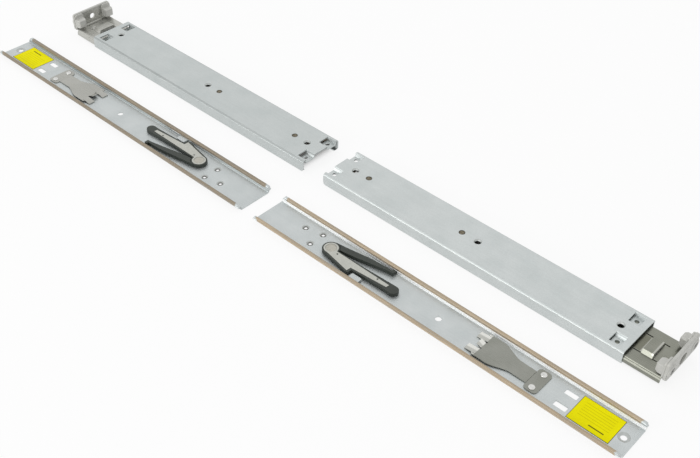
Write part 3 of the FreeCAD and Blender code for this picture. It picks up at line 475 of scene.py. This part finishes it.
# A copy of a node with rounded edges, which stands for the node
def refined(node, material, edge, segments=2, rides=True):
    source = nodes[node]
    mesh = bpy.data.meshes.new(node + ".soft")
    work = bmesh.new()
    work.from_mesh(source.data)
    bmesh.ops.remove_doubles(work, verts=work.verts, dist=refining["merge"])
    bmesh.ops.dissolve_limit(work, angle_limit=math.radians(refining["flatAngle"]), verts=work.verts,
                             edges=work.edges)
    work.to_mesh(mesh)
    work.free()
    mesh.materials.clear()
    mesh.materials.append(material)
    obj = bpy.data.objects.new(node + ".soft", mesh)
    bpy.context.scene.collection.objects.link(obj)
    if rounding[edge] > 0:
        bevel = obj.modifiers.new("roundEdges", "BEVEL")
        bevel.width = rounding[edge] * mm
        bevel.segments = segments
        bevel.limit_method = "ANGLE"
        bevel.angle_limit = math.radians(refining["bevelAngle"])
        bevel.use_clamp_overlap = True
    mesh.shade_smooth()
    mesh.set_sharp_from_angle(angle=math.radians(refining["sharpAngle"]))
    weighted = obj.modifiers.new("flatFaces", "WEIGHTED_NORMAL")
    weighted.mode = "FACE_AREA"
    weighted.weight = refining["flatWeight"]
    weighted.keep_sharp = True
    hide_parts(node)
    if rides:
        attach(obj, source["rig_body"])
    return obj


# The modifiers of a piece made part of its mesh
def settled(obj):
    bpy.context.view_layer.update()
    graph = bpy.context.evaluated_depsgraph_get()
    mesh = bpy.data.meshes.new_from_object(obj.evaluated_get(graph), preserve_all_data_layers=True,
                                           depsgraph=graph)
    obj.modifiers.clear()
    obj.data = mesh
    return obj


# Faces of a grid of points, row by row: each point, the next one on its ring, and the two above them
def ringFaces(rows, columns):
    row, column = np.meshgrid(np.arange(rows - 1), np.arange(columns), indexing="ij")
    a = row * columns + column
    b = row * columns + (column + 1) % columns
    return np.stack([a, b, b + columns, a + columns], axis=-1).reshape(-1, 4)


def meshObject(name, points, faces, material):
    mesh = bpy.data.meshes.new(name)
    mesh.from_pydata(points.tolist(), [], faces)
    mesh.materials.append(material)
    mesh.shade_smooth()
    obj = bpy.data.objects.new(name, mesh)
    bpy.context.scene.collection.objects.link(obj)
    return obj


# Turned pieces: a profile of (radius, height) rows swept round an axis at several places.
# Point = centre + radius * (cos turn, sin turn) square to the axis + height along it.
# The axis is upright, or lies along the rail. Flat caps close both ends, but an inner wall stays open and
# faces its axis. The right outer rail is a mirror image, so its faces are turned round.
def turned(name, where, side, shape, material, body, replaced=()):
    profile = np.asarray(shape["profile"], float)
    centres = np.asarray(shape["places"], float)
    segments = shape["segments"]
    inner = shape.get("inner", False)
    angle = np.linspace(0, 2 * math.pi, segments, endpoint=False)
    circle = np.stack([np.cos(angle), np.sin(angle)], axis=-1)
    rings = profile[:, None, 0, None] * circle[None, :, :]
    heights = np.broadcast_to(profile[:, None, 1, None], (len(profile), segments, 1))
    parts = [heights, rings] if shape.get("lying", False) else [rings, heights]
    swept = np.concatenate(parts, axis=-1).reshape(-1, 3)
    points = where(side, (centres[:, None, :] + swept[None, :, :]).reshape(-1, 3))
    starts = np.arange(len(centres)) * len(swept)
    walls = (ringFaces(len(profile), segments)[None, :, :] + starts[:, None, None]).reshape(-1, 4)
    lowCaps = np.arange(segments)[::-1][None, :] + starts[:, None]
    highCaps = (np.arange(segments) + len(swept) - segments)[None, :] + starts[:, None]
    caps = np.concatenate([lowCaps, highCaps])
    if (where is onOuter and side == "right") != inner:
        walls = walls[:, ::-1]
        caps = caps[:, ::-1]
    faces = walls.tolist() + ([] if inner else caps.tolist())
    obj = meshObject(name, points, faces, material)
    obj.data.set_sharp_from_angle(angle=math.radians(shape.get("sharpAngle", 35)))
    if replaced:
        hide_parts(*replaced)
    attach(obj, body)
    return obj


# A profile for a ball: radius * (cos lift, sin lift) from foot to top, with a tiny flat cap at both poles
def ballProfile(radius, rows=15, pole=0.02):
    lift = np.linspace(-math.pi / 2 + pole, math.pi / 2 - pole, rows)
    return np.stack([radius * np.cos(lift), radius * np.sin(lift)], axis=-1)


# The channel, the race member riveted under it and the ball cage inside
def outerChannel(side):
    refined(side + "_outer_channel", zinc[side], "sheet")
    refined(side + "_race_member", raceSteel, "thinSheet")
    refined(side + "_ball_cage", cageSteel, "none")


# The sliding bracket with its cap and its two pegs
def rackBracket(side):
    refined(side + "_telescoping_bracket", stainless[side], "sheet")
    refined(side + "_end_cap", casting, "casting")
    refined(side + "_lower_rack_peg", casting, "casting")
    refined(side + "_upper_rack_peg", casting, "casting")


# The drawn holes are painted near black inside as painted shade, and bright round their dished mouths
def drawnHoles(side):
    well = {"places": [(15, 0, 0), (139.5, 0, 0), (264, 0, 0)], "segments": 40, "inner": True,
            "profile": [(2.06, 9.02), (2.06, 10.2), (2.1, 10.36)]}
    mouth = dict(well, profile=[(2.08, 10.3), (2.16, 10.4), (2.95, 11.42), (3.08, 11.515), (3.22, 11.502)])
    rail = side + "_outer_rail"
    turned(side + "DrawnWells", onOuter, side, well, shadedWellSteel, rail)
    turned(side + "DrawnMouths", onOuter, side, mouth, mouthSteel, rail)


# Flush brown rivets, a little hollow in the middle
def raceRivets(side):
    rivet = {"places": [(154.6, 0, 0), (249.4, 0, 0)], "segments": 40,
             "profile": [(2.55, 8.8), (2.6, 8.9), (2.6, 11.36), (2.5, 11.46), (2.3, 11.48), (2.12, 11.38),
                         (1.9, 11.3), (1.0, 11.33), (0.02, 11.34)]}
    turned(side + "RaceRivets", onOuter, side, rivet, bronze, side + "_outer_rail",
           [side + "_race_rivets"])


# The balls stand in two rows along the race
def cageBalls(side):
    race = {"alongRail": np.linspace(91.0, 223.0, 5), "across": 18.6, "height": 3.0, "radius": 1.0}
    places = [(u, v, race["height"]) for u in race["alongRail"] for v in (-race["across"], race["across"])]
    ball = {"places": places, "profile": ballProfile(race["radius"]), "segments": 24, "sharpAngle": 180}
    turned(side + "CageBalls", onOuter, side, ball, ballSteel, side + "_cage",
           [side + "_cage_balls"])


# The screws lie along the rail and hold the pegs to the flange
def pegScrews(side):
    screw = {"places": [(0, -15.875, 14.0), (0, 15.875, 14.0)], "segments": 32, "lying": True,
             "profile": [(0.02, -32.2), (1.1, -32.2), (1.15, -32.95), (1.3, -33.08), (2.5, -33.08),
                         (2.78, -32.85), (2.8, -31.75), (2.75, -31.7), (1.5, -31.7), (1.5, -26.1),
                         (1.4, -26.0)]}
    turned(side + "PegScrews", onOuter, side, screw, screwAndThreadShadeSteel, side + "_bracket",
           [side + "_peg_screws"])


for side in sides:
    outerChannel(side)
    rackBracket(side)
    drawnHoles(side)
    raceRivets(side)
    cageBalls(side)
    pegScrews(side)
print("outer rails done")


# The rail with its label and the two parts of its latch
def innerRail(side):
    refined(side + "_inner_rail", greased, "sheet")
    refined(side + "_label", labelFilms[side], "none")
    refined(side + "_latch_foot", leafSteel[side], "latch")
    refined(side + "_latch_leaf", leafSteel[side], "latch")


# The chassis holes have a short ridged thread under a pressed mouth; the thread's dark colour is painted
# shade
def chassisHoles(side):
    thread = {"places": [(278.8, 6.2, 0), (278.4, -7.9, 0), (294.0, -4.7, 0)], "segments": 40,
              "inner": True, "bore": 1.34, "ridge": 0.12, "rows": 9, "heights": (0.06, 0.56),
              "above": [(1.9, 0.66), (2.1, 0.76)]}
    radii = thread["bore"] + thread["ridge"] * (np.arange(thread["rows"]) % 2)
    heights = np.linspace(*thread["heights"], thread["rows"])
    thread["profile"] = list(zip(radii, heights)) + thread["above"]
    mouth = dict(thread, profile=[(2.05, 0.73), (2.1, 0.77), (2.85, 1.16), (2.95, 1.215), (3.1, 1.202)])
    rail = side + "_inner_rail"
    # the dark screw colour on the thread is painted shade inside the hole
    turned(side + "ChassisThreads", onInner, side, thread, screwAndThreadShadeSteel, rail)
    turned(side + "ChassisMouths", onInner, side, mouth, mouthSteel, rail)


# The hole next to the label has a dished mouth
def endHole(side):
    dish = {"places": [(7.4, 0, 0)], "segments": 48, "inner": True,
            "profile": [(2.26, 0.1), (2.26, 0.62), (2.45, 0.74), (3.1, 0.76), (3.9, 1.12), (4.15, 1.215),
                        (4.35, 1.202)]}
    turned(side + "EndHoleDish", onInner, side, dish, mouthSteel, side + "_inner_rail")


# Domed heads with a shallow dimple
def latchRivets(side):
    dome = {"places": [(73.5, -7.3, 0), (73.5, 7.3, 0)], "segments": 36,
            "profile": [(1.45, 0.1), (1.5, 0.15), (1.5, 2.0), (2.55, 2.0), (2.6, 2.05), (2.58, 2.25),
                        (2.4, 2.58), (2.05, 2.84), (1.6, 3.02), (1.1, 3.09), (0.8, 3.06), (0.55, 2.9),
                        (0.3, 2.82), (0.02, 2.8)]}
    turned(side + "LatchRivets", onInner, side, dome, rivetSteel, side + "_inner_rail",
           [side + "_latch_rivets"])


# The moulded lever and the plate laid into it
def releaseLever(side):
    refined(side + "_release_lever", plastic, "lever", segments=3)
    refined(side + "_lever_catch_plate", plateSteel, "thinSheet")


# The pivot is a shouldered rivet whose broad head is turned a little hollow
def leverPivot(side):
    pivot = {"places": [(261.5, 1.3, 0)], "segments": 48,
             "profile": [(2.45, 0.1), (2.5, 0.15), (2.5, 3.55), (4.25, 3.55), (4.3, 3.6), (4.3, 4.12),
                         (4.17, 4.25), (3.7, 4.25), (3.5, 4.19), (2.1, 4.17), (1.9, 4.2), (0.9, 4.2),
                         (0.02, 4.19)]}
    turned(side + "LeverPivot", onInner, side, pivot, pivotSteel, side + "_inner_rail",
           [side + "_lever_pivot"])


# Two pins of the mould show as dark dots in the catch plate
def platePins(side):
    pin = {"places": [(253.3, 3.2, 0), (213.7, 2.75, 0)], "segments": 20,
           "profile": [(0.75, 4.1), (0.75, 4.4), (0.65, 4.43), (0.02, 4.43)]}
    turned(side + "PlatePins", onInner, side, pin, plastic, side + "_lever")


# The spring leg, with its edges rounded and made part of its mesh, stays in place and rides with no body
def springLeg(side):
    leg = refined(side + "_lever_spring_leg", plastic, "leg", segments=3, rides=False)
    leg = settled(leg)
    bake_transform(leg)


for side in sides:
    innerRail(side)
    chassisHoles(side)
    endHole(side)
    latchRivets(side)
    releaseLever(side)
    leverPivot(side)
    platePins(side)
    springLeg(side)
print("inner rails done")


# 1 for what the camera sees straight, mirrored or through a clear piece, and 0 for the light on the object
def straightRays(tree):
    path = put(tree, "LightPath").outputs
    seen = larger(tree, path["Is Camera Ray"], path["Is Glossy Ray"])
    return larger(tree, seen, path["Is Transmission Ray"])


# White paper that takes the object's shadow; under the two outer rails it lies in their shade
def paperMaterial():
    look = {"colour": (0.96, 0.96, 0.96), "rough": 1.0, "specular": 0.0, "glow": (1, 1, 1),
            "share": 0.85}  # the share of the glow in what is seen straight
    shade = {"across": (0.0205, 0.0145), "left": ((-0.315, -0.309), (-0.008, -0.020)),
             "right": ((0.017, 0.029), (0.324, 0.318))}
    material, tree, shader, coords = newMaterial("paper")
    shader.inputs["Base Color"].default_value = rgba(look["colour"])
    shader.inputs["Roughness"].default_value = look["rough"]
    shader.inputs["Specular IOR Level"].default_value = look["specular"]
    glow = put(tree, "Emission", {"Color": rgba(look["glow"]), "Strength": 1.0})
    place = axes(tree, coords)
    underRow = remap(tree, distance(tree, place["Y"], outerRow), *shade["across"], smooth=True)
    underRail = larger(tree, between(tree, place["X"], *shade["left"], smooth=True),
                       between(tree, place["X"], *shade["right"], smooth=True))
    share = remap(tree, times(tree, underRow, underRail), 0.0, 1.0, look["share"], 0.0)
    mix = put(tree, "MixShader", links={0: times(tree, straightRays(tree), share), 1: shader.outputs[0],
                                        2: glow.outputs[0]})
    tree.links.new(mix.outputs[0], tree.nodes["Material Output"].inputs["Surface"])
    return material


def makeFloor(reach=6):
    corners = [(-reach, -reach, 0), (reach, -reach, 0), (reach, reach, 0), (-reach, reach, 0)]
    mesh = bpy.data.meshes.new("floor")
    mesh.from_pydata(corners, [], [(0, 1, 2, 3)])
    mesh.materials.append(paperMaterial())
    floor = bpy.data.objects.new("floor", mesh)
    bpy.context.scene.collection.objects.link(floor)


# A plain level of light on the object, and white for what is seen straight or mirrored
def makeWorld():
    level = {"object": 0.66, "background": 1.0}
    world = bpy.data.worlds.new("studio")
    bpy.context.scene.world = world
    world.use_nodes = True
    tree = world.node_tree
    tree.nodes.clear()
    ambient = put(tree, "Background", {"Color": rgba((1, 1, 1)), "Strength": level["object"]})
    white = put(tree, "Background", {"Color": rgba((1, 1, 1)), "Strength": level["background"]})
    swap = put(tree, "MixShader", links={0: straightRays(tree), 1: ambient.outputs[0], 2: white.outputs[0]})
    put(tree, "OutputWorld", links={"Surface": swap.outputs[0]})


# Metal mirrors the white surroundings and not the broad panel overhead, which would whiten it
lamps = {"overhead": {"at": (-1.2, 1.3, 2.0), "to": (-0.2, 0.2, 0), "size": (5.2, 4.4), "power": 26,
                      "mirrored": False},
         "fromFront": {"at": (0.6, -1.8, 1.1), "to": (0, 0, 0), "size": (1.8, 0.9), "power": 3,
                       "mirrored": True},
         "lowFront": {"at": (-0.4, -1.46, 0.38), "to": (0.12, 0, 0), "size": (1.3, 0.7), "power": 7.5,
                      "mirrored": True}}


def makeLamp(name, look):
    light = bpy.data.lights.new(name, "AREA")
    light.shape = "RECTANGLE"
    light.size, light.size_y = look["size"]
    light.energy = look["power"]
    obj = bpy.data.objects.new(name, light)
    obj.location = look["at"]
    aim = Vector(look["to"]) - Vector(look["at"])
    obj.rotation_mode = "QUATERNION"
    obj.rotation_quaternion = aim.to_track_quat("-Z", "Y")
    obj.visible_glossy = look["mirrored"]
    bpy.context.scene.collection.objects.link(obj)


# The place and lens were worked out from the straight edges of the rails
def makeCamera():
    look = {"lens": 52.731, "sensor": 36.0, "nearest": 0.05,
            "matrix": ((0.738633, -0.458484, 0.494179, 0.463432),
                       (0.673475, 0.470142, -0.570437, -0.466555),
                       (0.029202, 0.754161, 0.65604, 0.523723),
                       (0, 0, 0, 1))}
    camera = bpy.data.objects.new("camera", bpy.data.cameras.new("camera"))
    camera.data.lens = look["lens"]
    camera.data.sensor_width = look["sensor"]
    camera.data.sensor_fit = "HORIZONTAL"
    camera.data.clip_start = look["nearest"]
    camera.matrix_world = Matrix(look["matrix"])
    bpy.context.scene.collection.objects.link(camera)
    bpy.context.scene.camera = camera


makeFloor()
makeWorld()
for name, look in lamps.items():
    makeLamp(name, look)
makeCamera()
bpy.context.scene.view_settings.view_transform = "Standard"
print("floor, world, lamps and camera done")
